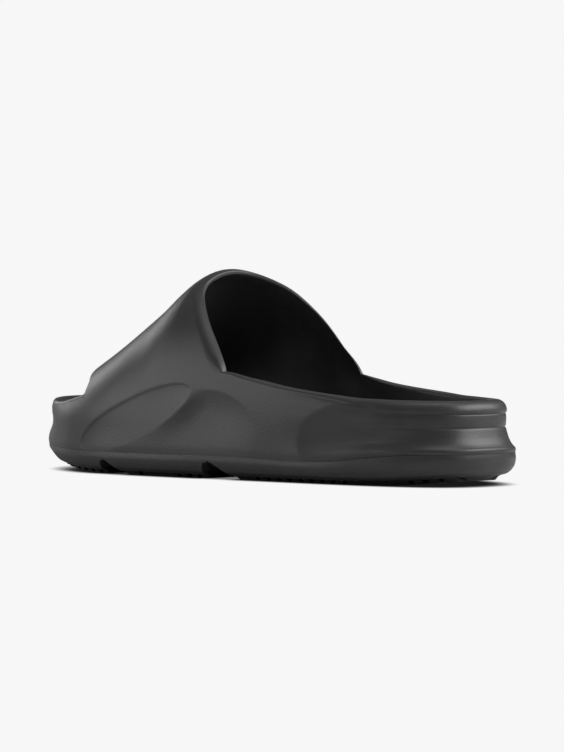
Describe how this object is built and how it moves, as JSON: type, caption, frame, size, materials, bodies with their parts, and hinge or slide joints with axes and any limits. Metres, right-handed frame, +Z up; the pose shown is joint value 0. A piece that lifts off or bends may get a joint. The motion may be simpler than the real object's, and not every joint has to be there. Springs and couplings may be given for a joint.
{
  "type": "sport slide sandal",
  "caption": "Left slip-on slide sandal of moulded foam: a broad closed band over the foot, open toe and heel, ribbed heel wall and a grooved outsole.",
  "frame": {"origin": "middle of the shoe's plan, on the floor it stands on", "axes": "+X from the heel to the toe, +Y to the outer side of the foot, +Z up"},
  "size_m": [0.29, 0.1074, 0.0991],
  "materials": {
    "upper_foam": "fine satin-matte moulded foam",
    "sole_foam": "matte moulded foam",
    "footbed_foam": "matte grained foam"
  },
  "bodies": {
    "root": {"upper": "upper_foam", "sole": "sole_foam", "insole": "footbed_foam"}
  },
  "joints": []
}
